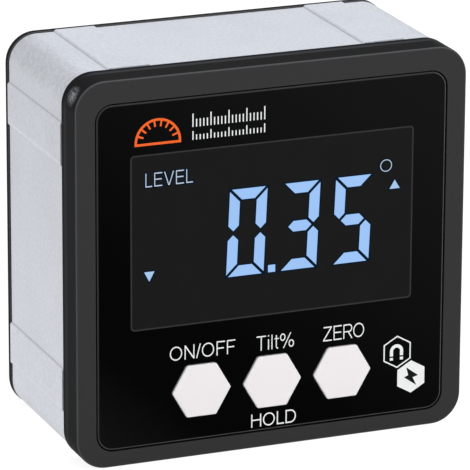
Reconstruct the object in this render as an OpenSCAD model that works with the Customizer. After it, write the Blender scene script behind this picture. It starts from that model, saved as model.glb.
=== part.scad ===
// Digital angle gauge: an aluminium box frame clamped between two moulded covers, with a lit display,
// three sprung push buttons, a magnetic base and a rechargeable supply.
// The front faces -Y and +Z is up. The origin is under the middle of the box, on the plane of the lower pads.
// Depths are measured back from the front plane, and flat outlines are drawn as seen from the front.

/* [Overall] */
// Width over the measuring pads
gauge_width = 60; // [58:0.5:72]
// Height over the measuring pads
gauge_height = 57.5; // [56.5:0.5:72]
// Depth from the front plane to the rear plane
gauge_depth = 31; // [30:0.5:45]
// Corner radius of the two covers, seen from the front
corner_radius = 4.5; // [4:0.25:6]

/* [Frame] */
// Wall thickness of the frame
frame_wall = 2.2; // [1.8:0.1:2.6]
// Width of a measuring pad across its flat top
pad_width = 5.9; // [4:0.1:8]
// Height of a pad above the frame wall
pad_rise = 0.3; // [0.2:0.05:0.6]
// Run of a pad's sloped flank
pad_flank = 0.35; // [0.2:0.05:0.6]
// Distance from the end of a side to the middle of its pad
pad_inset = 10.4; // [9.5:0.1:14]
// How far the front bezel lies inside the plane of the pads
bezel_relief = 0.05; // [0.05:0.05:0.2]
// How far the rear cover lies inside the plane of the pads
cover_relief = 0.15; // [0.05:0.05:0.2]
// Distance from the pad plane to the axis of a corner screw
screw_inset = 5.3; // [5:0.1:6]
// Radius of the screw lobe in each corner
lobe_radius = 2.5; // [2:0.1:3]

/* [Magnets] */
// Width of a bar magnet
magnet_width = 5; // [4:0.25:6]
// Thickness of a bar magnet
magnet_thickness = 2.5; // [2:0.1:4]
// Length of a bar magnet
magnet_length = 15; // [10:0.5:16]
// Thickness of the ribs beside a magnet
magnet_rib = 0.8; // [0.6:0.1:1]
// Height of the ribs beside a magnet
magnet_rib_rise = 1.2; // [0.8:0.1:1.4]

/* [Covers] */
// Depth of the front bezel's side wall
bezel_depth = 5.7; // [5.2:0.1:6.5]
// Radius of the bezel's front edge
bezel_edge = 0.3; // [0.2:0.05:1]
// Radius of the bezel's rear edge, at the joint
bezel_rear_edge = 0.15; // [0.1:0.05:0.6]
// Thickness of the bezel's plate behind the panel
plate_thickness = 1.5; // [1.2:0.1:2]
// Thickness of the rear cover
cover_thickness = 2.2; // [2:0.1:3]
// Radius of the rear cover's outer edge
cover_edge = 1.5; // [0.8:0.1:1.6]
// Radius of the rear cover's edge at the joint
cover_joint_edge = 0.25; // [0.1:0.05:0.4]
// Thickness of the seals at the two joints
gasket_thickness = 0.3; // [0.2:0.05:0.5]
// How far a seal's edge lies inside the frame's outline
gasket_inset = 0.15; // [0.05:0.05:0.4]
// Thickness of the locating tabs that enter the frame
tab_thickness = 1.2; // [1:0.1:1.5]
// Length of a locating tab along its side
tab_length = 20; // [12:1:24]
// How deep a locating tab enters the frame
tab_entry = 2; // [1.5:0.1:2.5]

/* [Front panel] */
// Bezel face left of the panel, and right of it
panel_side_margin = 3.15; // [2.7:0.05:3.5]
// Bezel face above the panel
panel_top_margin = 3.6; // [3.1:0.05:4.1]
// Bezel face below the panel
panel_bottom_margin = 2.6; // [2.5:0.05:3.1]
// Corner radius of the panel
panel_corner = 2.4; // [1:0.1:4]
// Thickness of the panel
panel_thickness = 1.5; // [1.2:0.1:2]
// Radius of the panel's polished front edge
panel_edge = 0.3; // [0.1:0.05:0.5]
// Gap between the panel and the bezel
panel_gap = 0.2; // [0.05:0.05:0.3]

/* [Display] */
// Panel left of the window, and right of it
window_side_margin = 5.05; // [4.8:0.05:8]
// Panel above the window
window_top_margin = 7.7; // [7.5:0.1:9]
// Height from the middle of the keys to the lower edge of the window
window_key_rise = 10.1; // [9.5:0.1:14]
// Corner radius of the opening behind the window
window_corner = 0.6; // [0.4:0.1:2]
// Display glass beyond the window, on the sides and at the top
glass_margin = 1.5; // [1:0.1:1.5]
// Width of the contact ledge along the lower edge of the front glass
contact_ledge = 2; // [1.6:0.1:2.2]
// Thickness of each of the two sheets of glass
glass_sheet = 1; // [0.9:0.05:1.2]
// Thickness of the light guide behind the glass
guide_thickness = 2.5; // [2.4:0.1:3.5]
// Wall thickness of the holder round the glass
holder_wall = 1.2; // [0.8:0.1:1.2]
// Width of the contact strip between the glass and the board
strip_width = 1.4; // [1:0.1:1.5]

/* [Buttons] */
// Width of a hexagonal key from point to point
button_span = 9.05; // [7:0.05:9.5]
// Distance between the middles of two keys
button_pitch = 10.95; // [10.6:0.05:11.3]
// Panel below the middle of the keys
button_bottom_margin = 7.4; // [7.2:0.1:7.8]
// How far a key stands out of the panel
button_stand = 0.2; // [0.1:0.05:0.6]
// Travel of a key
button_travel = 0.3; // [0.2:0.05:0.4]
// Radius of a key's front edge
button_edge = 0.2; // [0.1:0.05:0.4]
// How much the points of a key are rounded off
button_point_trim = 0.1; // [0.05:0.05:0.3]
// Thickness of the flange that keeps a key in
flange_thickness = 0.8; // [0.6:0.05:0.9]
// How far the flange reaches past the key
flange_lip = 0.5; // [0.3:0.05:0.5]
// Diameter of the post between a key and its switch stem
key_post_diameter = 3.2; // [2.5:0.1:4]
// Side of a square switch body
switch_side = 6; // [5:0.25:6.5]
// Height of a switch body above the board
switch_height = 2.4; // [2:0.1:2.4]
// Diameter of a switch stem
stem_diameter = 3.5; // [2.5:0.1:3.6]
// How far a stem stands out of its switch
stem_rise = 0.8; // [0.6:0.05:0.9]
// Depth of a stem inside its switch
stem_entry = 1; // [0.6:0.1:1.3]

/* [Boards] */
// Thickness of the main board
board_thickness = 1.6; // [1:0.1:2]
// Diameter of the posts that carry the main board
post_diameter = 3.4; // [3:0.1:3.6]
// Side of the controller chip
chip_side = 10; // [6:0.5:12]
// Thickness of the controller chip
chip_thickness = 1.4; // [0.8:0.1:2]
// Legs on each side of the controller chip
chip_legs = 8; // [4:1:12]
// Side of the tilt sensor
sensor_side = 5; // [3:0.25:6]
// Thickness of the tilt sensor
sensor_thickness = 1.5; // [0.8:0.1:2]

/* [Charging] */
// Width of the rechargeable cell
cell_width = 36; // [28:0.5:40]
// Height of the rechargeable cell
cell_height = 22; // [18:0.5:24]
// Thickness of the rechargeable cell
cell_thickness = 5.6; // [4.5:0.1:7]
// Width of the charging board
charge_board_width = 26; // [24:0.5:30]
// Height of the charging board
charge_board_height = 12; // [10:0.5:13]
// Thickness of the charging board
charge_board_thickness = 1.2; // [0.8:0.1:1.6]
// Width of the socket's shell
socket_width = 8.9; // [8.5:0.1:9.5]
// Height of the socket's shell
socket_height = 3.2; // [3:0.1:3.4]
// Wall of the socket's shell
socket_wall = 0.3; // [0.2:0.05:0.4]
// Width of the plug's face
plug_width = 13; // [11:0.5:16]
// Height of the plug's face
plug_height = 7; // [6:0.5:9]
// Depth of the pocket that the plug's face lies in
plug_pocket = 1.1; // [0.8:0.1:1.3]
// Diameter of a lead between the boards
lead_diameter = 1; // [0.8:0.1:1.4]

/* [Fasteners] */
// Shank diameter of a cover screw
cover_screw_shank = 2.2; // [1.8:0.1:2.6]
// Head diameter of a cover screw
cover_screw_head = 4.2; // [3.6:0.1:4.6]
// Head height of a cover screw
cover_screw_head_height = 1.1; // [0.8:0.1:1.2]
// How deep a cover screw enters the bezel
cover_screw_grip = 2.4; // [1.5:0.1:3]
// Shank diameter of a board screw
board_screw_shank = 1.5; // [1.2:0.1:1.8]
// Head diameter of a board screw
board_screw_head = 3; // [2.4:0.1:3.2]
// Head height of a board screw
board_screw_head_height = 1; // [0.8:0.1:1.4]
// How deep a board screw enters its post
board_screw_grip = 3; // [2:0.1:3.5]

/* [Hidden] */
$fn = 64;

// Clearances: between fitted pieces, round moving keys, behind the plate at rest, round screws,
// and where pieces only pass each other
fit_gap = 0.1;
key_gap = 0.15;
rest_gap = 0.05;
screw_gap = 0.05;
pass_gap = 0.4;
// Overlap of solids that grow into each other, and overrun of cuts
weld = 0.3;
cut = 1;
// Smallest inner fillet, and the broken edge of a hidden face
least_fillet = 0.4;
broken_edge = 0.1;

// Outlines of bezel, rear cover, frame, frame cavity and bezel cavity
bezel_size = [gauge_width - 2 * bezel_relief, gauge_height - 2 * bezel_relief];
cover_size = [gauge_width - 2 * cover_relief, gauge_height - 2 * cover_relief];
frame_size = [gauge_width - 2 * pad_rise, gauge_height - 2 * pad_rise];
frame_corner = corner_radius - pad_rise;
inner_size = frame_size - [2 * frame_wall, 2 * frame_wall];
inner_corner = max(frame_corner - frame_wall, least_fillet);
tab_inset = fit_gap + tab_thickness;
cavity_size = inner_size - [2 * tab_inset, 2 * tab_inset];

// Places of the corner screws
screw_x = gauge_width / 2 - screw_inset;
screw_z = gauge_height / 2 - screw_inset;

// The keys stand out of the front plane, and the origin is midway between their faces and the rear plane
front_plane = (button_stand - gauge_depth) / 2;

// Depths of the main layers
plate_rear = panel_thickness + plate_thickness;
glass_thickness = 2 * glass_sheet;
board_front = plate_rear + glass_thickness + guide_thickness;
board_rear = board_front + board_thickness;
frame_front = bezel_depth + gasket_thickness;
cover_front = gauge_depth - cover_thickness;
frame_rear = cover_front - gasket_thickness;

// Panel, with the places of window and keys from its upper and lower edges
panel_size = bezel_size - [2 * panel_side_margin, panel_top_margin + panel_bottom_margin];
panel_z = (panel_bottom_margin - panel_top_margin) / 2;
panel_top = panel_z + panel_size.y / 2;
panel_bottom = panel_z - panel_size.y / 2;
button_z = panel_bottom + button_bottom_margin;
window_top = panel_top - window_top_margin;
window_bottom = button_z + window_key_rise;
window_width = panel_size.x - 2 * window_side_margin;
window_size = [window_width, window_top - window_bottom];
window_z = (window_top + window_bottom) / 2;

// Display glass: the front sheet is longer by the contact ledge, and the rear sheet covers the window
glass_width = window_width + 2 * glass_margin;
glass_top = window_top + glass_margin;
rear_glass_bottom = window_bottom - glass_margin / 2;
front_glass_bottom = rear_glass_bottom - contact_ledge;
holder_gap = fit_gap + holder_wall;

// Keys: flange, post and switch stem follow each other from the plate to the board
flange_front = plate_rear + rest_gap;
flange_rear = flange_front + flange_thickness;
stem_front = board_front - switch_height - stem_rise;
switch_front = board_front - switch_height;
hex_turn = 60;
hex_share = cos(hex_turn / 2);
flange_span = button_span + 2 * flange_lip / hex_share;
hole_span = button_span + 2 * key_gap / hex_share;

// Main board and its posts
board_size = cavity_size - [2 * pass_gap, 2 * pass_gap];
upper_post_z = (glass_top + holder_gap + cavity_size.y / 2) / 2;
upper_post_x = screw_x - lobe_radius - pass_gap - post_diameter;
lower_post_x = button_pitch + flange_span / 2 + pass_gap + post_diameter / 2;
chip_z = window_z;
chip_x = 0;
sensor_x = chip_side / 2 + 2 * sensor_side;
leg_length = 0.8;
leg_width = 0.35;
leg_thickness = 0.2;

// Magnets lie on the lower wall, beside the corner lobes and behind the main board
magnet_x = screw_x - lobe_radius - pass_gap - magnet_rib - fit_gap - magnet_width / 2;
magnet_front = board_rear + board_screw_head_height + pass_gap;
floor_z = -inner_size.y / 2;

// Charging group: the cell lies on the rear cover, its tabs lie on the charging board,
// and the socket reaches from that board to the floor of the plug's pocket
pocket_floor = gauge_depth - plug_pocket;
cell_front = cover_front - cell_thickness;
cell_tab_width = 3;
cell_tab_thickness = 0.2;
cell_tab_x = 4.5;
charge_board_rear = cell_front + cell_tab_thickness;
charge_board_front = charge_board_rear - charge_board_thickness;
cell_corner = 2;
cell_edge = 1.2;
tray_wall = 1;
tray_rise = 2.5;
tray_size = [cell_width + 2 * (fit_gap + tray_wall), cell_height + 2 * (fit_gap + tray_wall)];
cell_z = cavity_size.y / 2 - tab_inset - tray_size.y / 2;
charge_board_z = cell_z - tray_size.y / 2 - pass_gap - charge_board_height / 2;
cell_tab_end = charge_board_z + charge_board_height / 2 - cell_tab_width;
charge_post_x = charge_board_width / 2 - post_diameter / 2 - fit_gap;
socket_z = charge_board_z;
lead_x = lead_diameter + pass_gap;
tongue_size = [6.7, 0.7];
tongue_start = 1;
socket_floor = 1;
skirt_length = 3.5;
nail_notch = 1.2;

// Screws
head_sink = cover_screw_head_height + screw_gap;
cover_screw_seat = gauge_depth - head_sink;
cross_slot = 0.5;
cross_share = 0.6;

// Carries a flat outline, drawn as seen from the front, from one depth to another, in either order
module depth_extrude(from, to) {
  translate([0, front_plane + max(from, to), gauge_height / 2])
    rotate([90, 0, 0])
      linear_extrude(abs(to - from)) children();
}

module rounded_rect(size, corner) {
  square([size.x - 2 * corner, size.y], center = true);
  square([size.x, size.y - 2 * corner], center = true);
  for (sx = [-1, 1], sz = [-1, 1])
    translate([sx * (size.x / 2 - corner), sz * (size.y / 2 - corner)]) circle(corner);
}

// Section of a slab across its width: depth runs along y, and both edges are rounded
module edge_section(half, thick, front_edge, rear_edge) {
  intersection() {
    translate([-half, 0]) square([2 * half, thick]);
    union() {
      translate([-half, front_edge]) square([2 * half, thick - front_edge - rear_edge]);
      translate([front_edge - half, 0]) square([2 * (half - front_edge), thick / 2]);
      translate([rear_edge - half, thick / 2]) square([2 * (half - rear_edge), thick / 2]);
      for (side = [-1, 1]) {
        translate([side * (half - front_edge), front_edge]) circle(front_edge);
        translate([side * (half - rear_edge), thick - rear_edge]) circle(rear_edge);
      }
    }
  }
}

// Slab with rounded corners and rounded edges: two crossed bars of one section, and four turned corners
module slab(size, corner, from, to, front_edge, rear_edge) {
  thick = to - from;
  half = size / 2;
  translate([0, front_plane + from, gauge_height / 2]) {
    linear_extrude(size.y - 2 * corner, center = true)
      edge_section(half.x, thick, front_edge, rear_edge);
    rotate([0, -90, 0])
      linear_extrude(size.x - 2 * corner, center = true)
        edge_section(half.y, thick, front_edge, rear_edge);
    for (sx = [-1, 1], sz = [-1, 1])
      translate([sx * (half.x - corner), 0, sz * (half.y - corner)])
        rotate([-90, 0, 0])
          rotate_extrude()
            intersection() {
              edge_section(corner, thick, front_edge, rear_edge);
              square([corner, thick]);
            }
  }
}

module hexagon(span) {
  intersection() {
    circle(d = span, $fn = 6);
    circle(d = span - 2 * button_point_trim);
  }
}

module screw_places() {
  for (sx = [-1, 1], sz = [-1, 1]) translate([sx * screw_x, sz * screw_z]) children();
}

module post_places() {
  for (side = [-1, 1]) {
    translate([side * upper_post_x, upper_post_z]) children();
    translate([side * lower_post_x, button_z]) children();
  }
}

module charge_post_places() {
  for (side = [-1, 1]) translate([side * charge_post_x, charge_board_z]) children();
}

module key_places() {
  for (index = [-1, 0, 1]) translate([index * button_pitch, button_z]) children();
}

// Screw lobes: a round boss with straight flanks that run out into the two walls of each corner
module corner_lobes(grow) {
  reach_x = inner_size.x / 2 - screw_x + weld;
  reach_z = inner_size.y / 2 - screw_z + weld;
  breadth = 2 * (lobe_radius + grow);
  for (sx = [-1, 1], sz = [-1, 1])
    translate([sx * screw_x, sz * screw_z]) {
      circle(d = breadth);
      translate([sx * reach_x / 2, 0]) square([reach_x, breadth], center = true);
      translate([0, sz * reach_z / 2]) square([breadth, reach_z], center = true);
      translate([sx * reach_x / 2, sz * reach_z / 2]) square([reach_x, reach_z], center = true);
    }
}

// One measuring pad with sloped flanks, standing on the line y = 0
module pad() {
  top = pad_width / 2;
  foot = top + pad_flank;
  polygon([[-foot, -weld], [foot, -weld], [foot, 0], [top, pad_rise], [-top, pad_rise], [-foot, 0]]);
}

module pads() {
  for (turn = [0, 180], side = [-1, 1]) {
    rotate(turn)
      translate([side * (gauge_width / 2 - pad_inset), frame_size.y / 2]) pad();
    rotate(turn + 90)
      translate([side * (gauge_height / 2 - pad_inset), frame_size.x / 2]) pad();
  }
}

module magnet_ribs() {
  offset_x = magnet_width / 2 + fit_gap + magnet_rib / 2;
  for (side = [-1, 1], rib = [-1, 1])
    translate([side * magnet_x + rib * offset_x - magnet_rib / 2, floor_z - weld])
      square([magnet_rib, magnet_rib_rise + weld]);
}

module frame_section() {
  difference() {
    union() {
      difference() {
        union() {
          rounded_rect(frame_size, frame_corner);
          pads();
        }
        rounded_rect(inner_size, inner_corner);
      }
      corner_lobes(0);
      magnet_ribs();
    }
    screw_places() circle(d = cover_screw_shank + 2 * fit_gap);
  }
}

// Locating tabs along the middle of each side, just inside the frame
module tabs() {
  for (side = [-1, 1]) {
    translate([side * (inner_size.x / 2 - fit_gap - tab_thickness / 2), 0])
      square([tab_thickness, tab_length], center = true);
    translate([0, side * (inner_size.y / 2 - fit_gap - tab_thickness / 2)])
      square([tab_length, tab_thickness], center = true);
  }
}

module gasket(from) {
  size = frame_size - [2 * gasket_inset, 2 * gasket_inset];
  depth_extrude(from, from + gasket_thickness)
    difference() {
      rounded_rect(size, frame_corner - gasket_inset);
      difference() {
        rounded_rect(inner_size, inner_corner);
        corner_lobes(0);
      }
      screw_places() circle(d = cover_screw_shank + 2 * fit_gap);
    }
}

module frame() {
  color([0.80, 0.81, 0.83]) depth_extrude(frame_front, frame_rear) frame_section();
}

module front_bezel() {
  panel_pocket = panel_size + [2 * panel_gap, 2 * panel_gap];
  color([0.17, 0.17, 0.18])
    difference() {
      union() {
        difference() {
          slab(bezel_size, corner_radius, 0, bezel_depth, bezel_edge, bezel_rear_edge);
          depth_extrude(plate_rear, bezel_depth + cut)
            difference() {
              rounded_rect(cavity_size, inner_corner);
              corner_lobes(0);
            }
        }
        depth_extrude(plate_rear - weld, board_front) post_places() circle(d = post_diameter);
        depth_extrude(bezel_depth - weld, frame_front + tab_entry) tabs();
      }
      depth_extrude(-cut, panel_thickness)
        translate([0, panel_z]) rounded_rect(panel_pocket, panel_corner + panel_gap);
      depth_extrude(panel_thickness - weld, plate_rear + cut) {
        translate([0, window_z]) rounded_rect(window_size, window_corner);
        key_places() hexagon(hole_span);
      }
      depth_extrude(board_front - board_screw_grip - fit_gap, board_front + cut)
        post_places() circle(d = board_screw_shank + 2 * screw_gap);
      depth_extrude(bezel_depth - cover_screw_grip - fit_gap, bezel_depth + cut)
        screw_places() circle(d = cover_screw_shank + 2 * screw_gap);
    }
}

module front_gasket() {
  color([0.08, 0.08, 0.08]) gasket(bezel_depth);
}

module front_panel() {
  color([0.05, 0.05, 0.06])
    difference() {
      translate([0, 0, panel_z])
        slab(panel_size, panel_corner, 0, panel_thickness, panel_edge, broken_edge);
      depth_extrude(-cut, panel_thickness + cut) key_places() hexagon(hole_span);
    }
}

// One bar of a key's head, as wide as the key across its flats, with rounded front edges
module key_bar(turn, thick) {
  rotate([0, turn - 90, 0])
    linear_extrude(2 * button_span, center = true)
      edge_section(button_span * hex_share / 2, thick, button_edge, broken_edge);
}

// Head of a key: what three crossed bars share, with its points rounded off
module key_head() {
  thick = flange_front + weld + button_stand;
  translate([0, front_plane - button_stand, gauge_height / 2])
    intersection() {
      rotate([-90, 0, 0]) cylinder(d = button_span - 2 * button_point_trim, h = thick);
      key_bar(0, thick);
      key_bar(hex_turn, thick);
      key_bar(2 * hex_turn, thick);
    }
}

module key(index) {
  color([0.93, 0.92, 0.92])
    translate([index * button_pitch, 0, button_z]) {
      key_head();
      depth_extrude(flange_front, flange_rear) hexagon(flange_span);
      depth_extrude(flange_rear - weld, stem_front) circle(d = key_post_diameter);
    }
}

module stem(index) {
  color([0.12, 0.12, 0.12])
    translate([index * button_pitch, 0, button_z])
      depth_extrude(stem_front, switch_front + stem_entry - button_travel)
        circle(d = stem_diameter);
}

module switch_body(index) {
  foot = [1, 0.7];
  color([0.25, 0.25, 0.26])
    translate([index * button_pitch, 0, button_z]) {
      difference() {
        depth_extrude(switch_front, board_front) square(switch_side, center = true);
        depth_extrude(switch_front - cut, switch_front + stem_entry + fit_gap)
          circle(d = stem_diameter + 2 * fit_gap);
      }
      for (side = [-1, 1], row = [-1, 1])
        depth_extrude(board_front - leg_thickness, board_front)
          translate([side * (switch_side + foot.x) / 2, row * switch_side / 3])
            square([foot.x + 2 * fit_gap, foot.y], center = true);
    }
}

module power_button() { key(-1); }
module tilt_button() { key(0); }
module zero_button() { key(1); }
module power_stem() { stem(-1); }
module tilt_stem() { stem(0); }
module zero_stem() { stem(1); }
module power_switch() { switch_body(-1); }
module tilt_switch() { switch_body(0); }
module zero_switch() { switch_body(1); }

// Rectangle as wide as the glass, between two heights
module glass_outline(bottom, grow) {
  translate([-glass_width / 2 - grow, bottom - grow])
    square([glass_width + 2 * grow, glass_top - bottom + 2 * grow]);
}

module display_glass() {
  color([0.20, 0.24, 0.30]) {
    depth_extrude(plate_rear, plate_rear + glass_sheet) glass_outline(front_glass_bottom, 0);
    depth_extrude(plate_rear + glass_sheet - weld, plate_rear + glass_thickness)
      glass_outline(rear_glass_bottom, 0);
  }
}

module display_holder() {
  color([0.85, 0.85, 0.85])
    depth_extrude(plate_rear, board_front)
      difference() {
        glass_outline(front_glass_bottom, holder_gap);
        glass_outline(front_glass_bottom, fit_gap);
      }
}

module light_guide() {
  color([0.75, 0.85, 0.95])
    depth_extrude(plate_rear + glass_thickness, board_front) glass_outline(rear_glass_bottom, 0);
}

module zebra_strip() {
  color([0.35, 0.35, 0.38])
    depth_extrude(plate_rear + glass_sheet, board_front)
      translate([-glass_width / 2 + glass_margin, front_glass_bottom])
        square([window_width, strip_width]);
}

module main_board() {
  color([0.05, 0.35, 0.18])
    depth_extrude(board_front, board_rear)
      difference() {
        square(board_size, center = true);
        corner_lobes(pass_gap);
        post_places() circle(d = board_screw_shank + 2 * fit_gap);
      }
}

module controller_chip() {
  leg_pitch = chip_side / (chip_legs + 1);
  color([0.10, 0.10, 0.11]) {
    depth_extrude(board_rear, board_rear + chip_thickness)
      translate([chip_x, chip_z]) square(chip_side, center = true);
    depth_extrude(board_rear, board_rear + leg_thickness)
      translate([chip_x, chip_z])
        for (turn = [0, 90], index = [1 : chip_legs])
          rotate(turn)
            translate([index * leg_pitch - chip_side / 2, 0])
              square([leg_width, chip_side + 2 * leg_length], center = true);
  }
}

module tilt_sensor() {
  color([0.15, 0.15, 0.16])
    depth_extrude(board_rear, board_rear + sensor_thickness)
      translate([sensor_x, chip_z]) square(sensor_side, center = true);
}

// Pan-head screw from its seat to its tip: the head lies beyond the seat, and carries a cross recess
module screw(seat, shank, head, head_height, tip) {
  way = sign(seat - tip);
  middle = seat + way * head_height / 2;
  top = seat + way * head_height;
  slot = [head * cross_share, cross_slot];
  depth_extrude(tip, middle) circle(d = shank);
  difference() {
    depth_extrude(seat, top) circle(d = head);
    depth_extrude(middle, top + way * cut) {
      square(slot, center = true);
      rotate(90) square(slot, center = true);
    }
  }
}

module board_screws() {
  color([0.70, 0.70, 0.72])
    for (side = [-1, 1], place = [[upper_post_x, upper_post_z], [lower_post_x, button_z]])
      translate([side * place.x, 0, place.y])
        screw(board_rear, board_screw_shank, board_screw_head, board_screw_head_height,
              board_front - board_screw_grip);
}

module magnet(side) {
  color([0.55, 0.56, 0.58])
    depth_extrude(magnet_front, magnet_front + magnet_length)
      translate([side * magnet_x - magnet_width / 2, floor_z])
        square([magnet_width, magnet_thickness]);
}

module left_magnet() { magnet(-1); }
module right_magnet() { magnet(1); }

module rear_gasket() {
  color([0.08, 0.08, 0.08]) gasket(frame_rear);
}

module stadium(size) {
  square([size.x - size.y, size.y], center = true);
  for (side = [-1, 1]) translate([side * (size.x - size.y) / 2, 0]) circle(d = size.y);
}

module rear_cover() {
  color([0.17, 0.17, 0.18])
    difference() {
      union() {
        slab(cover_size, corner_radius, cover_front, gauge_depth, cover_joint_edge, cover_edge);
        depth_extrude(frame_rear - tab_entry, cover_front + weld) tabs();
        depth_extrude(cover_front - tray_rise, cover_front + weld)
          translate([0, cell_z])
            difference() {
              square(tray_size, center = true);
              square(tray_size - [2 * tray_wall, 2 * tray_wall], center = true);
            }
        depth_extrude(charge_board_rear, cover_front + weld)
          charge_post_places() circle(d = post_diameter);
      }
      depth_extrude(cover_front - cut, gauge_depth + cut)
        screw_places() circle(d = cover_screw_shank + 2 * fit_gap);
      depth_extrude(cover_screw_seat, gauge_depth + cut)
        screw_places() circle(d = cover_screw_head + 2 * fit_gap);
      depth_extrude(charge_board_rear - cut, charge_board_rear + board_screw_grip + fit_gap)
        charge_post_places() circle(d = board_screw_shank + 2 * screw_gap);
      depth_extrude(cover_front - cut, gauge_depth + cut)
        translate([0, socket_z]) stadium([socket_width + 2 * fit_gap, socket_height + 2 * fit_gap]);
      depth_extrude(pocket_floor, gauge_depth + cut)
        translate([0, socket_z]) {
          rounded_rect([plug_width + 2 * fit_gap, plug_height + 2 * fit_gap], plug_height / 4);
          translate([plug_width / 2, 0]) circle(nail_notch);
        }
    }
}

module cover_screws() {
  color([0.25, 0.25, 0.26])
    for (sx = [-1, 1], sz = [-1, 1])
      translate([sx * screw_x, 0, sz * screw_z])
        screw(cover_screw_seat, cover_screw_shank, cover_screw_head, cover_screw_head_height,
              bezel_depth - cover_screw_grip);
}

module battery_cell() {
  color([0.72, 0.74, 0.78]) {
    translate([0, 0, cell_z])
      slab([cell_width, cell_height], cell_corner, cell_front, cover_front, cell_edge, cell_edge);
    for (side = [-1, 1])
      depth_extrude(charge_board_rear, charge_board_rear + cell_tab_thickness)
        translate([side * cell_tab_x - cell_tab_width / 2, cell_tab_end])
          square([cell_tab_width, cell_z - cell_tab_end]);
  }
}

module charge_board() {
  color([0.05, 0.35, 0.18])
    depth_extrude(charge_board_front, charge_board_rear)
      difference() {
        translate([0, charge_board_z])
          square([charge_board_width, charge_board_height], center = true);
        charge_post_places() circle(d = board_screw_shank + 2 * fit_gap);
      }
}

module charge_socket() {
  shell = [socket_width, socket_height];
  bore = shell - [2 * socket_wall, 2 * socket_wall];
  color([0.75, 0.76, 0.78]) {
    difference() {
      depth_extrude(charge_board_rear, pocket_floor) translate([0, socket_z]) stadium(shell);
      depth_extrude(charge_board_rear + socket_floor, pocket_floor + cut)
        translate([0, socket_z]) stadium(bore);
    }
    depth_extrude(charge_board_rear + socket_floor - weld, pocket_floor - tongue_start)
      translate([0, socket_z]) square(tongue_size, center = true);
  }
}

module charge_leads() {
  color([0.75, 0.10, 0.08])
    for (side = [-1, 1])
      depth_extrude(board_rear, charge_board_front)
        translate([side * lead_x, charge_board_z]) circle(d = lead_diameter);
}

module charge_screws() {
  color([0.70, 0.70, 0.72])
    for (side = [-1, 1])
      translate([side * charge_post_x, 0, charge_board_z])
        screw(charge_board_front, board_screw_shank, board_screw_head, board_screw_head_height,
              charge_board_rear + board_screw_grip);
}

module port_plug() {
  skirt = [socket_width - 2 * socket_wall - 2 * fit_gap, socket_height - 2 * socket_wall - 2 * fit_gap];
  slot = tongue_size + [2 * fit_gap, 2 * fit_gap];
  color([0.10, 0.10, 0.10]) {
    depth_extrude(pocket_floor, gauge_depth)
      translate([0, socket_z]) rounded_rect([plug_width, plug_height], plug_height / 4);
    depth_extrude(pocket_floor - skirt_length, pocket_floor + weld)
      translate([0, socket_z])
        difference() {
          stadium(skirt);
          square(slot, center = true);
        }
  }
}

frame();
front_bezel();
front_gasket();
front_panel();
power_button();
tilt_button();
zero_button();
power_stem();
tilt_stem();
zero_stem();
power_switch();
tilt_switch();
zero_switch();
display_glass();
display_holder();
light_guide();
zebra_strip();
main_board();
controller_chip();
tilt_sensor();
board_screws();
left_magnet();
right_magnet();
rear_gasket();
rear_cover();
cover_screws();
battery_cell();
charge_board();
charge_socket();
charge_leads();
charge_screws();
port_plug();
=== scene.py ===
"""Looks of a digital angle gauge: the finishes of its pieces, and the printed and lit marks on its front."""
import math

import bpy
import numpy as np
from mathutils import Matrix, Vector


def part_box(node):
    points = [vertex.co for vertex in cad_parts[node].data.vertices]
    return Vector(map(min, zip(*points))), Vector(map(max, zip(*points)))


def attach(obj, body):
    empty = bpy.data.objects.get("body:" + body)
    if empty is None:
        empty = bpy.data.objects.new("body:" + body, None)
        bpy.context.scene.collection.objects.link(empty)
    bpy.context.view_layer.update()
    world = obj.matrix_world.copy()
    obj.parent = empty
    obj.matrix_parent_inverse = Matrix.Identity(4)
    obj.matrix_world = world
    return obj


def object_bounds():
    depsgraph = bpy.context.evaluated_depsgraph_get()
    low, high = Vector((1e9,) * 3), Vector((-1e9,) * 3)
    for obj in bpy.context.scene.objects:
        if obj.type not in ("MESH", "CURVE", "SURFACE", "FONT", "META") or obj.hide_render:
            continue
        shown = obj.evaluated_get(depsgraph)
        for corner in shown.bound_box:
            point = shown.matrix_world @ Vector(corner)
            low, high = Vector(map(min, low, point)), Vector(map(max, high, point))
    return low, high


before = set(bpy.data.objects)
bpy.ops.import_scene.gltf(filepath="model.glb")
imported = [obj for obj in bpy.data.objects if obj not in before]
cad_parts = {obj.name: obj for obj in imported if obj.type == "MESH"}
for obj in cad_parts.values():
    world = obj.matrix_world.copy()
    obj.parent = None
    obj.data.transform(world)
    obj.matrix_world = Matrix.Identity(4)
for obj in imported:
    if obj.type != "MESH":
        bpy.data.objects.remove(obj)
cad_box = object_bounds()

# Sizes and places are in millimetres unless a comment says metres, and MM turns them into metres.
# A place on the face is given as x to the right and z up from the middle of the gauge.
MM = 0.001
panel_low = np.array(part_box("front_panel")[0])
frame_low, frame_high = (np.array(corner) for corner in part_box("frame"))
glass_low, glass_high = (np.array(corner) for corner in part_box("display_glass"))
FACE_Y = float(panel_low[1])
JOINT_Y = float(frame_low[1])
MIDDLE_Z = float(frame_low[2] + frame_high[2]) / 2
HALF_WIDTH = float(frame_high[0])
HALF_HEIGHT = float(frame_high[2]) - MIDDLE_Z

# Camera: its direction and distance from the middle of the gauge, its offset to the right and up,
# and its focal length in pixels
IMAGE_SIDE = 470
SENSOR_WIDTH = 36.0
CAMERA_AZIMUTH = math.radians(-22.008)
CAMERA_ELEVATION = math.radians(17.62)
CAMERA_ROLL = math.radians(0.274)
CAMERA_DISTANCE = 648.2
CAMERA_OFFSET = (0.368, -1.169)
CAMERA_CLIP = 10.0
FOCAL_PIXELS = 4436.3

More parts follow.
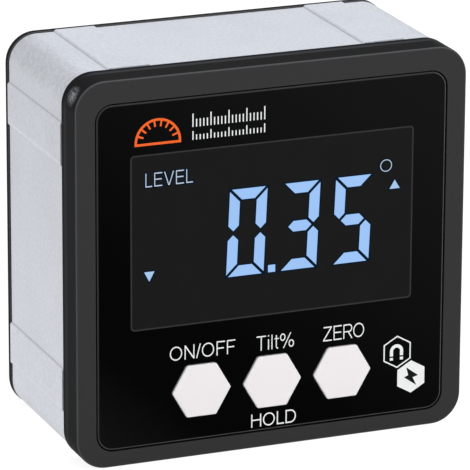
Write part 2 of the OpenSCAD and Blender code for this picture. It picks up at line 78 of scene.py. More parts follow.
# Surroundings: strength of the white that only lights, half the floor's side in metres, and how far the
# camera sees the floor as plain white instead of lit
AMBIENT = 0.36
FLOOR_HALF = 3.0
FLOOR_WHITE_SHARE = 0.75
FLOOR_WHITE_GAIN = 0.2

# Soft lamps: place and side in metres, power in watts, colour, and whether glossy pieces mirror them
LAMPS = {
    "top_light": ((0.1, -0.15, 0.7), 0.9, 2.7, (0.74, 0.81, 1.0), True),
    "front_light": ((0.35, -0.75, 0.24), 1.2, 7.7, (1.0, 1.0, 1.0), False),
    "rear_light": ((0.0, 0.8, 0.2), 0.9, 3.2, (1.0, 1.0, 1.0), False),
}

# Frame, from its middle: start of the round corners, then middle, half width and rise of the pads on its
# sides, and the reach of the painted highlight along a pad's lower edge
CORNER_START_X = 25.0
CORNER_START_Z = 24.0
PAD_MIDDLE_Z = 18.35
PAD_HALF = 2.95
PAD_RISE = 0.3
PAD_HIGHLIGHT_REACH = 0.46

# Bezel: front and rear of the grey band on its sides, measured forward from the frame, and the painted glint,
# a painted highlight on its upper left corner, measured back from the middle of the face
BAND_FRONT = 2.3
BAND_REAR = 1.35
GLINT_CENTRE = (-29.4, 2.5, 26.4)
GLINT_REACH = (1.75, 2.0, 1.85)

# Heights of the printed layers above the panel
FIELD_HEIGHT = 0.004
LINE_HEIGHT = 0.008
HALO_HEIGHT = 0.012
MARK_HEIGHT = 0.018

# Window: what the panel's black border covers of the display glass, and the line round the window
GLASS_SIDE_COVER = 1.5
GLASS_FOOT_COVER = 2.75
WINDOW_CORNER = 0.6
WINDOW_LINE = 0.22

# Seven-segment reading: lit bars of each figure, lower left corner of the first one, and sizes of figures,
# bars and the dark halo round them
FIGURE_BARS = {"0": "abcdef", "3": "abgcd", "5": "afgcd"}
READING = "035"
FIGURE_LEFT = -7.21
FIGURE_FOOT = -2.16
FIGURE_PITCH = 8.175
FIGURE_WIDTH = 5.75
FIGURE_HEIGHT = 12.97
FIGURE_LEAN = 0.044
BAR_WIDTH = 1.58
BAR_GAP = 0.42
HALO_WIDTH = 0.19
POINT_BOX = (-0.75, 0.36, -2.16, -1.07)

# Small marks on the display
DEGREE_CENTRE = (17.49, 11.84)
DEGREE_RADIUS = 0.925
DEGREE_LINE = 0.13
ARROW_UP = [(18.08, 8.25), (19.69, 8.25), (18.88, 9.58)]
ARROW_DOWN = [(-19.7, 0.06), (-18.92, -1.4), (-18.14, 0.06)]

# Words: text, the box that it fills (left, right, foot and head), and its stroke and added letter space
# in letter heights
LEGENDS = {
    "legend_power": ("ON/OFF", (-15.8, -5.75, -13.78, -11.62), 0.086, 0.03),
    "legend_tilt": ("Tilt%", (-2.45, 3.39, -13.92, -11.68), 0.081, 0.0),
    "legend_zero": ("ZERO", (7.96, 14.4, -13.72, -11.52), 0.085, 0.0),
    "legend_hold": ("HOLD", (-3.2, 3.79, -25.5, -23.48), 0.097, 0.0),
}
MODE_LEGEND = ("LEVEL", (-19.48, -12.31, 12.58, 14.62), 0.084, 0.054)

# Signs beside the keys: two upright hexagons, one round a horseshoe magnet and one behind a lightning bolt
SIGN_RADIUS = 2.5
SIGN_LINE = 0.22
SIGN_TURN = 30
MAGNET_HEXAGON = np.array((19.71, -16.75))
MAGNET_CENTRE = MAGNET_HEXAGON + (-0.1, 0.13)
MAGNET_RADIUS = 1.05
MAGNET_LEG = 0.5
MAGNET_YOKE_FOOT = -0.73
MAGNET_POLE_HEAD = -0.96
MAGNET_POLE_FOOT = -1.38
BOLT_CENTRE = np.array((21.97, -20.84))
BOLT_CORNERS = np.array([
    (-0.76, 1.5), (1.14, 0.09), (0.28, -0.16), (0.9, -1.43), (-1.1, -0.01), (-0.44, 0.26)])

# Heading above the display: a half-round dial with ticks, and two rows of scale marks, given as foot and
# the heights of long and short marks
DIAL_CENTRE = np.array((-17.6, 19.05))
DIAL_RADIUS = 3.5
DIAL_LINE = 0.36
DIAL_TICK_START = 2.31
DIAL_TICK_LINE = DIAL_LINE / 1.3
DIAL_TICK_ANGLES = range(20, 161, 20)
SCALE_LEFT = -12.4
SCALE_PITCH = 0.545
SCALE_MARKS = 21
SCALE_LONG_EVERY = 5
SCALE_STROKE = 0.17
SCALE_ROWS = ((20.72, 1.95, 1.15), (18.82, 1.3, 0.75))


class Wire:
    """A shader socket with arithmetic: each operation on it adds one Math node."""

    def __init__(self, maker, socket):
        self.maker = maker
        self.socket = socket

    def maths(self, operation, first, second):
        """The result of a Math node on two values or wires."""
        return self.maker.node("ShaderNodeMath", {"operation": operation}, {0: first, 1: second})

    def __add__(self, other):
        return self.maths("ADD", self, other)

    def __radd__(self, other):
        return self.maths("ADD", other, self)

    def __sub__(self, other):
        return self.maths("SUBTRACT", self, other)

    def __rsub__(self, other):
        return self.maths("SUBTRACT", other, self)

    def __mul__(self, other):
        return self.maths("MULTIPLY", self, other)

    def __rmul__(self, other):
        return self.maths("MULTIPLY", other, self)

    def __gt__(self, other):
        return self.maths("GREATER_THAN", self, other)

    def __abs__(self):
        return self.maths("ABSOLUTE", self, 0.0)

    def largest(self, other):
        """The larger of two values."""
        return self.maths("MAXIMUM", self, other)

    def smallest(self, other):
        """The smaller of two values."""
        return self.maths("MINIMUM", self, other)

    def held(self):
        """The value kept between 0 and 1."""
        return self.largest(0.0).smallest(1.0)


class Nodes:
    """Makes the nodes of one tree."""

    def __init__(self, tree):
        self.tree = tree

    def node(self, kind, settings=None, sockets=None, output=0):
        """Adds a node of a kind, sets its settings and then its sockets, and returns one output."""
        made = self.tree.nodes.new(kind)
        for key, value in (settings or {}).items():
            setattr(made, key, value)
        for key, value in (sockets or {}).items():
            self.feed(made.inputs[key], value)
        return Wire(self, made.outputs[output])

    def feed(self, socket, value):
        """Links a wire to a socket, or sets the socket to a plain value."""
        if isinstance(value, Wire):
            self.tree.links.new(value.socket, socket)
        else:
            socket.default_value = value

    def seeing_rays(self):
        """Two masks: rays straight from the camera, and rays that reach it by a mirror or a clear piece."""
        camera, glossy, clear = (
            self.node("ShaderNodeLightPath", output=f"Is {kind} Ray")
            for kind in ("Camera", "Glossy", "Transmission")
        )
        return camera, glossy.largest(clear)


class Finish(Nodes):
    """One material: a Principled shader and the nodes that feed it."""

    def __init__(self, name, **sockets):
        self.material = bpy.data.materials.new(name)
        self.material.use_nodes = True
        super().__init__(self.material.node_tree)
        self.shader = self.tree.nodes["Principled BSDF"]
        self.set(**sockets)

    def set(self, **sockets):
        """Sets sockets of the shader, named as Blender names them with _ for a space."""
        for key, value in sockets.items():
            self.feed(self.shader.inputs[key.replace("_", " ")], value)

    def grain(self, size, detail=2.0):
        """Noise between 0 and 1 whose blotches are about size millimetres across."""
        place = self.node("ShaderNodeTexCoord", output="Object")
        sockets = {"Vector": place, "Scale": 1 / (size * MM), "Detail": detail}
        return self.node("ShaderNodeTexNoise", None, sockets)

    def part(self, source, axis):
        """One component of the place (Object) or the direction (Normal) of the surface."""
        vector = self.node("ShaderNodeTexCoord", output=source)
        return self.node("ShaderNodeSeparateXYZ", None, {0: vector}, output=axis)

    def turned_edge(self):
        """1 where the surface lies halfway between facing front and facing sideways, and 0 on both faces."""
        facing = self.part("Normal", "Y")
        square = facing * facing
        return (square * (1.0 - square) * 4.0).held()

    def mix(self, factor, first, second):
        """The first colour where the factor is 0, and the second where it is 1."""
        sockets = {0: factor, 6: first, 7: second}
        return self.node("ShaderNodeMix", {"data_type": "RGBA"}, sockets, output=2)

    def bump(self, height, depth, strength):
        """Raises the surface by a height between 0 and 1, times a depth in millimetres."""
        sockets = {"Height": height, "Distance": depth * MM, "Strength": strength}
        self.set(Normal=self.node("ShaderNodeBump", None, sockets))


def srgb(red, green, blue):
    """Linear colour, with alpha, of a display colour given as 0 to 255."""
    value = np.array([red, green, blue]) / 255.0
    linear = np.where(value <= 0.04045, value / 12.92, ((value + 0.055) / 1.055) ** 2.4)
    return (*linear.tolist(), 1.0)


def shade(colour, factor):
    """A colour made darker or lighter by a factor."""
    return (*(np.array(colour[:3]) * factor).tolist(), 1.0)


def blasted_aluminium():
    """Bead-blasted aluminium: a speckle over a slow drift, matt sawn ends, and painted light: painted shade
    darker towards the top, on the sides and at the rounded corners, painted shade and highlight lines on the
    pads' flanks, and a painted highlight along the pads' lower edges.
    """
    finish = Finish("blasted_aluminium")
    colour = srgb(214, 217, 223)
    x, z = finish.part("Object", "X"), finish.part("Object", "Z") - MIDDLE_Z
    sideways, endways = finish.part("Normal", "X"), finish.part("Normal", "Y")
    slant = sideways * finish.part("Normal", "Z")
    corner = (abs(x) > CORNER_START_X * MM) * (abs(z) > CORNER_START_Z * MM)
    speckle, drift = finish.grain(0.55, 3.0), finish.grain(9.0, 1.0)
    grit = (speckle - 0.5) * (corner * 0.35 + 0.76) + (drift - 0.5) * 0.2
    # painted shade: darker towards the top, on the sides that face left and right, and in the middle of the
    # rounded corners
    painted_shade = z * 4.6 + abs(sideways) * 0.055 + abs(slant) * corner * 0.6
    # painted highlight: a bright line along each side pad's lower edge
    painted_highlight = pad_highlight_band(z) * abs(sideways) * (z * 6.0 + 0.24)
    tone = (grit + 0.57 - painted_shade + painted_highlight).held()
    ground = finish.mix(tone, shade(colour, 0.72), shade(colour, 1.2))
    flank = (abs(slant) > 0.3) * (1.0 - corner)
    sink = pad_sink(x, z)
    # painted light on the pads' flanks: flanks whose slant is below 0 get painted shade darkening towards
    # their foot, the others a painted highlight paler towards the plane of the pads
    pale = slant > 0.0
    ground = finish.mix(flank * (1.0 - pale) * sink * sink, ground, shade(colour, 0.55))
    finish.set(Base_Color=finish.mix(flank * pale * (1.0 - sink), ground, shade(colour, 1.14)))
    finish.set(Metallic=0.9 - endways * endways * 0.75)
    finish.set(Roughness=speckle * 0.16 + 0.40)
    finish.bump(speckle, 0.03, 0.4)
    return finish.material


def pad_highlight_band(z):
    """Mask of the painted highlight: 1 at the height of each side pad's lower edge, falling to 0 one reach
    above and below it.
    """
    from_edge = abs(abs(z + PAD_HALF * MM) - PAD_MIDDLE_Z * MM)
    return (1.0 - from_edge * (1 / (PAD_HIGHLIGHT_REACH * MM))).held()


def pad_sink(x, z):
    """0 in the plane of the pads, rising to 1 at the foot of their flanks."""
    depth = (HALF_WIDTH - abs(x)).smallest(HALF_HEIGHT - abs(z))
    return (depth * (1 / (PAD_RISE * MM))).held()


def black_moulding():
    """Moulded black plastic: a spark-textured face, sides in painted shade, and a painted highlight on the
    edges between them.
    """
    finish = Finish("black_moulding", Specular_IOR_Level=0.006)
    texture = finish.grain(0.16)
    facing = finish.part("Normal", "Y")
    face = finish.mix(texture, srgb(50, 49, 49), srgb(57, 56, 56))
    # painted shade: the sides are darker than the face
    ground = finish.mix(facing * facing, moulding_sides(finish, texture), face)
    # painted highlight on the turned edges between face and sides
    finish.set(Base_Color=finish.mix(finish.turned_edge() * 0.9, ground, srgb(88, 88, 88)))
    finish.set(Roughness=texture * 0.14 + 0.42)
    finish.bump(texture, 0.015, 0.25)
    return finish.material


def moulding_sides(finish, texture):
    """Colour of the moulding's sides, in painted shade: darker still on top and at corners, with a painted
    glint and a grey band.
    """
    upward = finish.part("Normal", "Z")
    corner = (abs(finish.part("Normal", "X") * upward) * 2.2).held()
    # painted shade: the sides' base tone, darker still where they face up and at the rounded corners
    side = finish.mix(texture, srgb(38, 38, 38), srgb(42, 42, 42))
    side = finish.mix(upward.held(), side, srgb(24, 24, 24))
    side = finish.mix(corner, side, srgb(30, 30, 31))
    # painted glint: a painted highlight on the upper left corner
    side = finish.mix(painted_glint(finish), side, srgb(170, 170, 170))
    return finish.mix(side_band(finish) * (1.0 - corner), side, srgb(53, 56, 57))


def painted_glint(finish):
    """Mask of the painted glint, a mottled highlight: the square of 1 less the squared distances from its
    centre, each over its reach.
    """
    spot = 1.0
    for axis, start, centre, reach in zip("XYZ", (0.0, FACE_Y, MIDDLE_Z), GLINT_CENTRE, GLINT_REACH):
        away = (finish.part("Object", axis) - (start + centre * MM)) * (1 / (reach * MM))
        spot = spot - away * away
    spot = spot.held()
    mottle = (finish.grain(0.3) * 4.0 - 1.4).held()
    return spot * spot * mottle


def side_band(finish):
    """1 on the grey band round the bezel's sides, and 0 in front of it and behind it."""
    y = finish.part("Object", "Y")
    return (y > JOINT_Y - BAND_FRONT * MM) - (y > JOINT_Y - BAND_REAR * MM)


def polished_panel():
    """Polished acrylic, black behind, with a painted sheen at the upper right and the lower left, and a
    painted highlight on its edge.
    """
    finish = Finish("polished_panel", Specular_IOR_Level=0.008)
    haze = finish.grain(6.0)
    x, z = finish.part("Object", "X"), finish.part("Object", "Z") - MIDDLE_Z
    # painted sheen: paler towards the upper right and the lower left, over a random haze
    upper_right = x * 14.0 + z * 17.0 + 0.27
    lower_left = -1.86 - x * 46.0 - z * 53.0
    haze_and_painted_sheen = (upper_right.largest(lower_left) + haze * 0.1).held()
    face = finish.mix(haze_and_painted_sheen, srgb(4, 4, 4), srgb(20, 20, 20))
    # painted highlight on the panel's edge, brighter where the edge faces right or down
    lower_right = finish.part("Normal", "X") - finish.part("Normal", "Z")
    edge = finish.mix((lower_right * 0.7 + 0.5).held(), srgb(64, 63, 61), srgb(98, 97, 95))
    finish.set(Base_Color=finish.mix(finish.turned_edge(), face, edge))
    finish.set(Roughness=haze * 0.04 + 0.07)
    return finish.material


def satin_key():
    """White satin moulding with a trace of pink and a very fine texture."""
    finish = Finish("satin_key", Specular_IOR_Level=0.2)
    texture = finish.grain(0.2)
    finish.set(Base_Color=finish.mix(texture, srgb(233, 227, 224), srgb(238, 232, 229)))
    finish.set(Roughness=texture * 0.1 + 0.42)
    finish.bump(texture, 0.01, 0.15)
    return finish.material


def display_field():
    """Unlit display behind smoked acrylic."""
    finish = Finish("display_field", Specular_IOR_Level=0.008)
    haze = finish.grain(5.0)
    finish.set(Base_Color=finish.mix(haze, srgb(24, 24, 23), srgb(28, 28, 27)))
    finish.set(Roughness=haze * 0.04 + 0.07)
    return finish.material


def lit_mark(name, colour):
    """Segment lit from behind, a little uneven as the light guide is."""
    finish = Finish(name, Base_Color=srgb(10, 14, 20), Emission_Strength=1.0, Specular_IOR_Level=0.02)
    glow = finish.grain(6.0, 1.0)
    finish.set(Emission_Color=finish.mix(glow, shade(colour, 0.95), shade(colour, 1.02)))
    finish.set(Roughness=glow * 0.04 + 0.08)
    return finish.material


def print_ink(name, colour, gloss=0.1):
    """Screen-printed ink with the slightly uneven cover of a mesh screen."""
    finish = Finish(name, Specular_IOR_Level=gloss)
    cover = finish.grain(0.25)
    finish.set(Base_Color=finish.mix(cover, shade(colour, 0.93), colour))
    finish.set(Roughness=cover * 0.1 + 0.3)
    return finish.material


def even_finish(name, colour, grain=0.3, roughness=0.5, metallic=0.0, depth=0.01):
    """Even finish with a fine texture in tone, gloss and height."""
    finish = Finish(name, Metallic=metallic)
    texture = finish.grain(grain)
    finish.set(Base_Color=finish.mix(texture, shade(colour, 0.88), shade(colour, 1.1)))
    finish.set(Roughness=texture * 0.16 + (roughness - 0.08))
    finish.bump(texture, depth, 0.3)
    return finish.material


def outer_finishes():
    """Finishes of the pieces that show, by node."""
    moulding, key = black_moulding(), satin_key()
    soft = even_finish("soft_black", srgb(20, 20, 20), grain=0.25, roughness=0.7)
    oxide = even_finish("black_oxide", srgb(46, 46, 48), roughness=0.38, metallic=0.8)
    return {
        "frame": blasted_aluminium(),
        "front_bezel": moulding,
        "rear_cover": moulding,
        "front_panel": polished_panel(),
        "front_gasket": soft,
        "rear_gasket": soft,
        "port_plug": soft,
        "cover_screws": oxide,
        "power_button": key,
        "tilt_button": key,
        "zero_button": key,
    }


def inner_finishes():
    """Finishes of the pieces inside, by node."""
    board = even_finish("solder_mask", srgb(24, 92, 58), grain=0.5, roughness=0.35)
    resin = even_finish("chip_resin", srgb(34, 34, 35), grain=0.15, roughness=0.6)
    steel = even_finish("plated_steel", srgb(190, 191, 194), grain=0.4, roughness=0.32, metallic=1.0)
    nickel = even_finish("magnet_nickel", srgb(200, 196, 188), grain=0.6, roughness=0.25, metallic=1.0)
    foil = even_finish("cell_foil", srgb(176, 178, 182), grain=1.5, roughness=0.35, metallic=0.7, depth=0.05)
    return {
        "display_glass": even_finish("dark_glass", srgb(30, 32, 38), grain=2.0, roughness=0.12, depth=0.001),
        "display_holder": even_finish("white_moulding", srgb(225, 225, 222), roughness=0.45),
        "light_guide": even_finish("frosted_guide", srgb(205, 220, 235), grain=0.4, roughness=0.4),
        "zebra_strip": even_finish("contact_rubber", srgb(70, 70, 74), grain=0.2, roughness=0.6),
        "left_magnet": nickel,
        "right_magnet": nickel,
        "battery_cell": foil,
        "charge_leads": even_finish("lead_cover", srgb(170, 30, 26)),
        "charge_socket": steel,
        "board_screws": steel,
        "charge_screws": steel,
        "main_board": board,
        "charge_board": board,
        "controller_chip": resin,
        "tilt_sensor": resin,
        "power_stem": resin,
        "tilt_stem": resin,
        "zero_stem": resin,
        "power_switch": steel,
        "tilt_switch": steel,
        "zero_switch": steel,
    }


def dress_nodes():
    """Gives every solid of the gauge its finish."""
    finishes = outer_finishes() | inner_finishes()
    for name, material in finishes.items():
        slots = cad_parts[name].data.materials
        slots.clear()
        slots.append(material)


def on_face(flat, height):
    """Places flat points, in millimetres, at a height above the panel, in metres."""
    flat = np.asarray(flat, float)
    depth = np.full(len(flat), FACE_Y - height * MM)
    return np.column_stack([flat[:, 0] * MM, depth, flat[:, 1] * MM + MIDDLE_Z])


def anticlockwise(outline):
    """The outline, turned round where its signed area, half the sum of cross products, is negative."""
    outline = np.asarray(outline, float)
    following = np.roll(outline, -1, axis=0)
    area = np.sum(outline[:, 0] * following[:, 1] - following[:, 0] * outline[:, 1]) / 2
    return outline if area > 0 else outline[::-1]


def add_mark(name, outlines, height, material):
    """Low prisms on the panel: each outline is carried from the panel's face to its height and closed."""
    vertices, faces, start = [], [], 0
    for outline in map(anticlockwise, outlines):
        count = len(outline)
        vertices += [on_face(outline, height), on_face(outline, 0.0)]
        ring = np.arange(start, start + count)
        following = np.roll(ring, -1)
        faces.append(ring.tolist())
        faces.append((ring[::-1] + count).tolist())
        faces += np.column_stack([following, ring, ring + count, following + count]).tolist()
        start += 2 * count
    mesh = bpy.data.meshes.new(name)
    mesh.from_pydata(np.vstack(vertices).tolist(), [], faces)
    mesh.materials.append(material)
    piece = bpy.data.objects.new(name, mesh)
    bpy.context.scene.collection.objects.link(piece)
    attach(piece, "housing")


def box(left, right, foot, head):
    """Box with level and upright sides, as its four corners."""
    return np.array([(left, foot), (right, foot), (right, head), (left, head)])


def rounded_box(left, right, foot, head, corner, steps=8):
    """Box whose corners are quarter circles about four centres."""
    turn = np.linspace(0, math.pi / 2, steps)
    quarter = np.column_stack([np.cos(turn), np.sin(turn)]) * corner
    ends = ((right, head, 1, 1), (left, head, -1, 1), (left, foot, -1, -1), (right, foot, 1, -1))
    arcs = []
    for x, z, side, rise in ends:
        arc = quarter * (side, rise) + (x - side * corner, z - rise * corner)
        arcs.append(arc if side == rise else arc[::-1])
    return np.vstack(arcs)


def rounded_line(left, right, foot, head, corner, stroke, steps=8):
    """Line round a rounded box: a bar along each side, and a quarter band about the centre of each corner."""
    west, east, south, north = left + corner, right - corner, foot + corner, head - corner
    line = [
        box(west, east, head - stroke, head),
        box(west, east, foot, foot + stroke),
        box(left, left + stroke, south, north),
        box(right - stroke, right, south, north),
    ]
    for index, centre in enumerate(((east, north), (west, north), (west, south), (east, south))):
        line.append(bow(centre, corner, 90 * index, 90 * (index + 1), stroke, steps))
    return line


def bow(centre, reach, start, end, stroke, steps=20):
    """Band along an ellipse: points at reach from the centre, and back along points one stroke further in."""
    turn = np.radians(np.linspace(start, end, steps))
    rim = np.column_stack([np.cos(turn), np.sin(turn)])
    reach = np.broadcast_to(np.asarray(reach, float), 2)
    return np.vstack([rim * reach, rim[::-1] * (reach - stroke)]) + np.asarray(centre)


def loop(centre, reach, stroke):
    """Closed band along an ellipse, in two halves."""
    return [bow(centre, reach, 0, 180, stroke), bow(centre, reach, 180, 360, stroke)]


def polygon(centre, radius, sides, turn):
    """Regular polygon: points at one radius from the centre, a full turn divided by the sides apart."""
    angle = np.radians(turn + np.arange(sides) * 360 / sides)
    return np.column_stack([np.cos(angle), np.sin(angle)]) * radius + np.asarray(centre)


def polygon_line(centre, radius, sides, turn, stroke):
    """Outline of a polygon as one four-sided bar along each side."""
    outer = polygon(centre, radius, sides, turn)
    inner = polygon(centre, radius - stroke, sides, turn)
    bars = np.stack([outer, np.roll(outer, -1, axis=0), np.roll(inner, -1, axis=0), inner], axis=1)
    return list(bars)


def lean(foot_left, head_left, foot, head, breadth):
    """Leaning stroke with level ends."""
    foot_right, head_right = foot_left + breadth, head_left + breadth
    return np.array([(foot_left, foot), (foot_right, foot), (head_right, head), (head_left, head)])


def letters(stroke):
    """Letters one unit high: space before, width, space after, and bars, leaning strokes and bows."""
    top, half = 1 - stroke, stroke / 2
    flank, diagonal, cross_foot = 1.08 * stroke, 1.35 * stroke, 0.73 - 0.9 * stroke
    stem = box(0, stroke, 0, 1)
    slant = np.array([
        (stroke, 1), (stroke, 1 - 1.8 * stroke), (0.8 - stroke, 0), (0.8 - stroke, 1.8 * stroke)])

    def bar(right, foot):
        """Level bar from the stem to the right."""
        return box(stroke, right, foot, foot + stroke)

    return {
        "D": (0.09, 0.88, 0.06, [
            stem, bar(0.42, top), bar(0.42, 0), bow((0.42, 0.5), (0.46, 0.5), -90, 90, stroke)]),
        "E": (0.11, 0.74, 0.05, [stem, bar(0.74, top), bar(0.7, 0.52 - half), bar(0.74, 0)]),
        "F": (0.11, 0.68, 0.03, [stem, bar(0.68, top), bar(0.6, 0.5 - half)]),
        "H": (0.11, 0.84, 0.09, [stem, box(0.84 - stroke, 0.84, 0, 1), bar(0.84 - stroke, 0.54 - half)]),
        "L": (0.11, 0.62, 0.03, [stem, bar(0.62, 0)]),
        "N": (0.11, 0.8, 0.11, [stem, box(0.8 - stroke, 0.8, 0, 1), slant]),
        "O": (0.06, 1.0, 0.06, loop((0.5, 0.5), 0.5, stroke)),
        "R": (0.11, 0.84, 0.0, [
            stem, bar(0.52, top), bar(0.52, 0.44), bow((0.52, 0.72), (0.28, 0.28), -90, 90, stroke),
            lean(0.74, 0.42, 0, 0.44, 1.2 * stroke)]),
        "T": (0.03, 0.76, 0.07, [box(0, 0.76, top, 1), box(0.38 - half, 0.38 + half, 0, top)]),
        "V": (0.06, 0.92, 0.02, [
            lean(0.4, 0.0, 0, 1, flank), lean(0.52 - flank, 0.92 - flank, 0, 1, flank)]),
        "Z": (0.03, 0.8, 0.04, [
            box(0.03, 0.78, top, 1), box(0, 0.8, 0, stroke),
            lean(0.0, 0.78 - diagonal, stroke, top, diagonal)]),
        "i": (0.1, stroke, 0.1, [box(0, stroke, 0, 0.73), box(0, stroke, 1 - 1.15 * stroke, 1)]),
        "l": (0.1, stroke, 0.1, [stem]),
        "t": (0.07, 0.36, 0.0, [
            box(0.1, 0.1 + stroke, 0.14, 0.94), box(0, 0.1, cross_foot, 0.73),
            box(0.1 + stroke, 0.34, cross_foot, 0.73), bow((0.28, 0.16), (0.18, 0.17), 180, 275, stroke)]),
        "%": (0.08, 1.14, 0.0, [
            *loop((0.22, 0.74), (0.22, 0.26), stroke), *loop((0.92, 0.26), (0.22, 0.26), stroke),
            lean(0.24, 0.825, -0.02, 1.0, stroke)]),
        "/": (0.0, 0.38, 0.0, [lean(0.0, 0.38 - stroke, -0.01, 1.01, stroke)]),
    }


def word(text, place, stroke, spread):
    """Outlines of a word: set letter by letter, a spread further apart, then stretched to fill its box."""
    alphabet, shapes, cursor = letters(stroke), [], 0.0
    for letter in text:
        before, width, after, outlines = alphabet[letter]
        shapes += [outline + (cursor + before, 0.0) for outline in outlines]
        cursor += before + width + after + spread
    points = np.vstack(shapes)
    low, high = points.min(axis=0), points.max(axis=0)
    left, right, foot, head = place
    scale = np.array((right - left, head - foot)) / (high - low)
    return [(outline - low) * scale + (left, foot) for outline in shapes]


def grown(outline, margin):
    """Outline moved outwards by a margin: each corner goes along the sum of its two side normals."""
    outline = anticlockwise(outline)
    side = np.roll(outline, -1, axis=0) - outline
    side /= np.linalg.norm(side, axis=1)[:, None]
    normal = np.column_stack([side[:, 1], -side[:, 0]])
    before = np.roll(normal, 1, axis=0)
    share = 1 + np.sum(normal * before, axis=1)
    return outline + margin * (normal + before) / share[:, None]


def figure_bars():
    """Bars of one figure: a mitred top, pointed upper left and six-sided middle, and their mirror images."""
    width, height, bar, half = FIGURE_WIDTH, FIGURE_HEIGHT, BAR_WIDTH, BAR_WIDTH / 2
    middle, gap = height / 2, BAR_GAP / math.sqrt(2)
    inner_left, inner_right = bar + gap, width - bar - gap
    bars = {
        "a": np.array([
            (inner_left, height - bar), (inner_right, height - bar), (width - gap, height), (gap, height)]),
        "f": np.array([
            (0, height - gap), (0, middle + half + gap), (half, middle + gap), (bar, middle + half + gap),
            (bar, height - bar - gap)]),
        "g": np.array([
            (half + gap, middle), (inner_left, middle - half), (inner_right, middle - half),
            (width - half - gap, middle), (inner_right, middle + half), (inner_left, middle + half)]),
    }
    across, over = np.array((width, 0.0)), np.array((0.0, height))
    for twin, source, far_side in (("b", "f", across), ("d", "a", over), ("e", "f", over), ("c", "b", over)):
        bars[twin] = np.abs(bars[source] - far_side)
    return bars


def reading(margin):
    """Lit bars of every figure, leaning to the right with height, and the point, all grown by a margin."""
    bars, outlines = figure_bars(), []
    for index, figure in enumerate(READING):
        left = FIGURE_LEFT + index * FIGURE_PITCH
        for outline in (grown(bars[letter], margin) for letter in FIGURE_BARS[figure]):
            x, z = outline.T
            outlines.append(np.column_stack([x + left + z * FIGURE_LEAN, z + FIGURE_FOOT]))
    return [*outlines, grown(box(*POINT_BOX), margin)]


def window_box():
    """Left, right, foot and head of the window: the display glass less what the panel's border covers."""
    left, right = glass_low[0] / MM + GLASS_SIDE_COVER, glass_high[0] / MM - GLASS_SIDE_COVER
    foot = (glass_low[2] - MIDDLE_Z) / MM + GLASS_FOOT_COVER
    head = (glass_high[2] - MIDDLE_Z) / MM - GLASS_SIDE_COVER
    return left, right, foot, head


def add_display():
    """Dark field with its line, and on dark halos the lit reading, arrows, degree ring and mode word."""
    window = window_box()
    line = rounded_line(*window, WINDOW_CORNER, WINDOW_LINE)
    add_mark("display_field", [rounded_box(*window, WINDOW_CORNER)], FIELD_HEIGHT, display_field())
    add_mark("display_outline", line, LINE_HEIGHT, print_ink("window_line", srgb(46, 46, 48)))
    halo = print_ink("figure_halo", srgb(3, 24, 42), gloss=0.008)
    add_mark("figure_halo", reading(HALO_WIDTH), HALO_HEIGHT, halo)
    add_mark("figures", reading(0.0), MARK_HEIGHT, lit_mark("lit_segment", srgb(159, 198, 248)))
    arrow = lit_mark("lit_arrow", srgb(169, 202, 236))
    pale = lit_mark("lit_legend", srgb(188, 201, 218))
    ring = loop(DEGREE_CENTRE, DEGREE_RADIUS, DEGREE_LINE)
    mode = word(*MODE_LEGEND)
    add_mark("arrow_up", [ARROW_UP], MARK_HEIGHT, arrow)
    add_mark("arrow_down", [ARROW_DOWN], MARK_HEIGHT, arrow)
    add_mark("degree_ring", ring, MARK_HEIGHT, pale)
    add_mark("legend_mode", mode, MARK_HEIGHT, pale)
    small = [*mode, *ring, ARROW_UP, ARROW_DOWN]
    add_mark("legend_halo", [grown(outline, HALO_WIDTH) for outline in small], HALO_HEIGHT, halo)


def add_legends(ink):
    """Words above and below the keys."""
    for name, legend in LEGENDS.items():
        add_mark(name, word(*legend), MARK_HEIGHT, ink)


def add_signs(ink, dark):
    """Horseshoe magnet in a hexagon line, and a lightning bolt on a filled hexagon."""
    ring = polygon_line(MAGNET_HEXAGON, SIGN_RADIUS, 6, SIGN_TURN, SIGN_LINE)
    add_mark("magnet_hexagon", ring, MARK_HEIGHT, ink)
    add_mark("bolt_hexagon", [polygon(BOLT_CENTRE, SIGN_RADIUS, 6, SIGN_TURN)], HALO_HEIGHT, ink)
    add_mark("bolt_sign", [BOLT_CORNERS + BOLT_CENTRE], MARK_HEIGHT, dark)
    magnet = [bow((0.0, 0.0), MAGNET_RADIUS, 0, 180, MAGNET_LEG)]
    for side in (-1, 1):
        inner, outer = side * (MAGNET_RADIUS - MAGNET_LEG), side * MAGNET_RADIUS
        magnet.append(box(inner, outer, MAGNET_YOKE_FOOT, 0.0))
        magnet.append(box(inner, outer, MAGNET_POLE_FOOT, MAGNET_POLE_HEAD))
    add_mark("magnet_sign", [shape + MAGNET_CENTRE for shape in magnet], MARK_HEIGHT, ink)


def add_heading(orange, ink):
    """Half-round dial with ticks, and two rows of scale marks, as a plain heading above the display."""
    dial = [bow((0.0, 0.0), DIAL_RADIUS, 0, 180, DIAL_LINE, 48)]
    dial.append(box(-DIAL_RADIUS, DIAL_RADIUS, -DIAL_LINE, 0.0))
    for angle in np.radians(DIAL_TICK_ANGLES):
        along = np.array((math.cos(angle), math.sin(angle)))
        across = np.array((-along[1], along[0])) * DIAL_TICK_LINE / 2
        inner, outer = along * DIAL_TICK_START, along * (DIAL_RADIUS - DIAL_LINE)
        dial.append(np.array([inner - across, outer - across, outer + across, inner + across]))
    add_mark("heading_dial", [shape + DIAL_CENTRE for shape in dial], MARK_HEIGHT, orange)
    marks = []
    for index in range(SCALE_MARKS):
        left = SCALE_LEFT + index * SCALE_PITCH
        for foot, tall, short in SCALE_ROWS:
            height = short if index % SCALE_LONG_EVERY else tall
            marks.append(box(left, left + SCALE_STROKE, foot, foot + height))
    add_mark("heading_scale", marks, MARK_HEIGHT, ink)


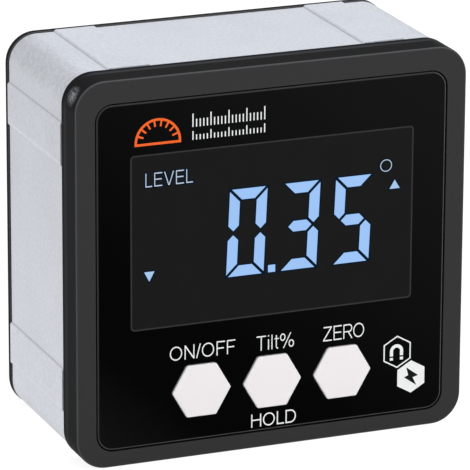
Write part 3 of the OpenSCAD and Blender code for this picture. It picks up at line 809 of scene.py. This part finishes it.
def add_camera():
    """Camera with no shift of its lens: it stands off along one direction and is rolled a little."""
    flat, rise = math.cos(CAMERA_ELEVATION), math.sin(CAMERA_ELEVATION)
    back = Vector((math.sin(CAMERA_AZIMUTH) * flat, -math.cos(CAMERA_AZIMUTH) * flat, rise))
    level = Vector((0, 0, 1)).cross(back).normalized()
    upright = back.cross(level)
    right = level * math.cos(CAMERA_ROLL) + upright * math.sin(CAMERA_ROLL)
    up = upright * math.cos(CAMERA_ROLL) - level * math.sin(CAMERA_ROLL)
    target = Vector((0, (FACE_Y + cad_box[1][1]) / 2, MIDDLE_Z))
    eye = target + (back * CAMERA_DISTANCE + right * CAMERA_OFFSET[0] + up * CAMERA_OFFSET[1]) * MM
    data = bpy.data.cameras.new("camera")
    data.sensor_width = SENSOR_WIDTH
    data.lens = FOCAL_PIXELS / IMAGE_SIDE * SENSOR_WIDTH
    data.clip_start = CAMERA_CLIP * MM
    camera = bpy.data.objects.new("camera", data)
    bpy.context.scene.collection.objects.link(camera)
    camera.matrix_world = Matrix.Translation(eye) @ Matrix((right, up, back)).transposed().to_4x4()
    bpy.context.scene.camera = camera


def add_lamp(name, place, side, power, colour, mirrored):
    """Square soft lamp that faces the gauge and that the camera doesn't see."""
    data = bpy.data.lights.new(name, "AREA")
    data.shape = "SQUARE"
    data.size = side
    data.energy = power
    data.color = colour
    lamp = bpy.data.objects.new(name, data)
    bpy.context.scene.collection.objects.link(lamp)
    lamp.location = place
    lamp.rotation_euler = (Vector((0, 0, MIDDLE_Z)) - Vector(place)).to_track_quat("-Z", "Y").to_euler()
    lamp.visible_camera = False
    lamp.visible_glossy = mirrored


def add_world():
    """White surroundings, which are plain white where they are seen and weaker where they only light."""
    world = bpy.data.worlds.new("surroundings")
    bpy.context.scene.world = world
    world.use_nodes = True
    nodes = Nodes(world.node_tree)
    camera_ray, other_ray = nodes.seeing_rays()
    background = world.node_tree.nodes["Background"]
    background.inputs["Color"].default_value = (1.0, 1.0, 1.0, 1.0)
    nodes.feed(background.inputs["Strength"], camera_ray.largest(other_ray) * (1.0 - AMBIENT) + AMBIENT)


def add_floor():
    """Pale floor that keeps the gauge's shadow: a lit surface mixed with plain white where it is seen."""
    finish = Finish("pale_floor", Base_Color=(0.95, 0.95, 0.95, 1.0), Roughness=0.9, Specular_IOR_Level=0.1)
    camera_ray, other_ray = finish.seeing_rays()
    lit = Wire(finish, finish.shader.outputs[0])
    white = finish.node("ShaderNodeEmission", None, {"Strength": camera_ray * FLOOR_WHITE_GAIN + 1.0})
    share = (camera_ray * FLOOR_WHITE_SHARE).largest(other_ray)
    shown = finish.node("ShaderNodeMixShader", None, {0: share, 1: lit, 2: white})
    finish.feed(finish.tree.nodes["Material Output"].inputs["Surface"], shown)
    mesh = bpy.data.meshes.new("floor")
    corners = box(-FLOOR_HALF, FLOOR_HALF, -FLOOR_HALF, FLOOR_HALF)
    mesh.from_pydata([(x, y, 0.0) for x, y in corners.tolist()], [], [(0, 1, 2, 3)])
    mesh.materials.append(finish.material)
    floor = bpy.data.objects.new("floor", mesh)
    bpy.context.scene.collection.objects.link(floor)


dress_nodes()
white_ink = print_ink("white_ink", srgb(238, 237, 233))
add_display()
add_legends(white_ink)
add_signs(white_ink, print_ink("black_ink", srgb(10, 10, 11)))
add_heading(print_ink("orange_ink", srgb(240, 98, 38)), white_ink)
add_camera()
add_world()
add_floor()
for name, lamp in LAMPS.items():
    add_lamp(name, *lamp)
bpy.context.scene.view_settings.view_transform = "Standard"
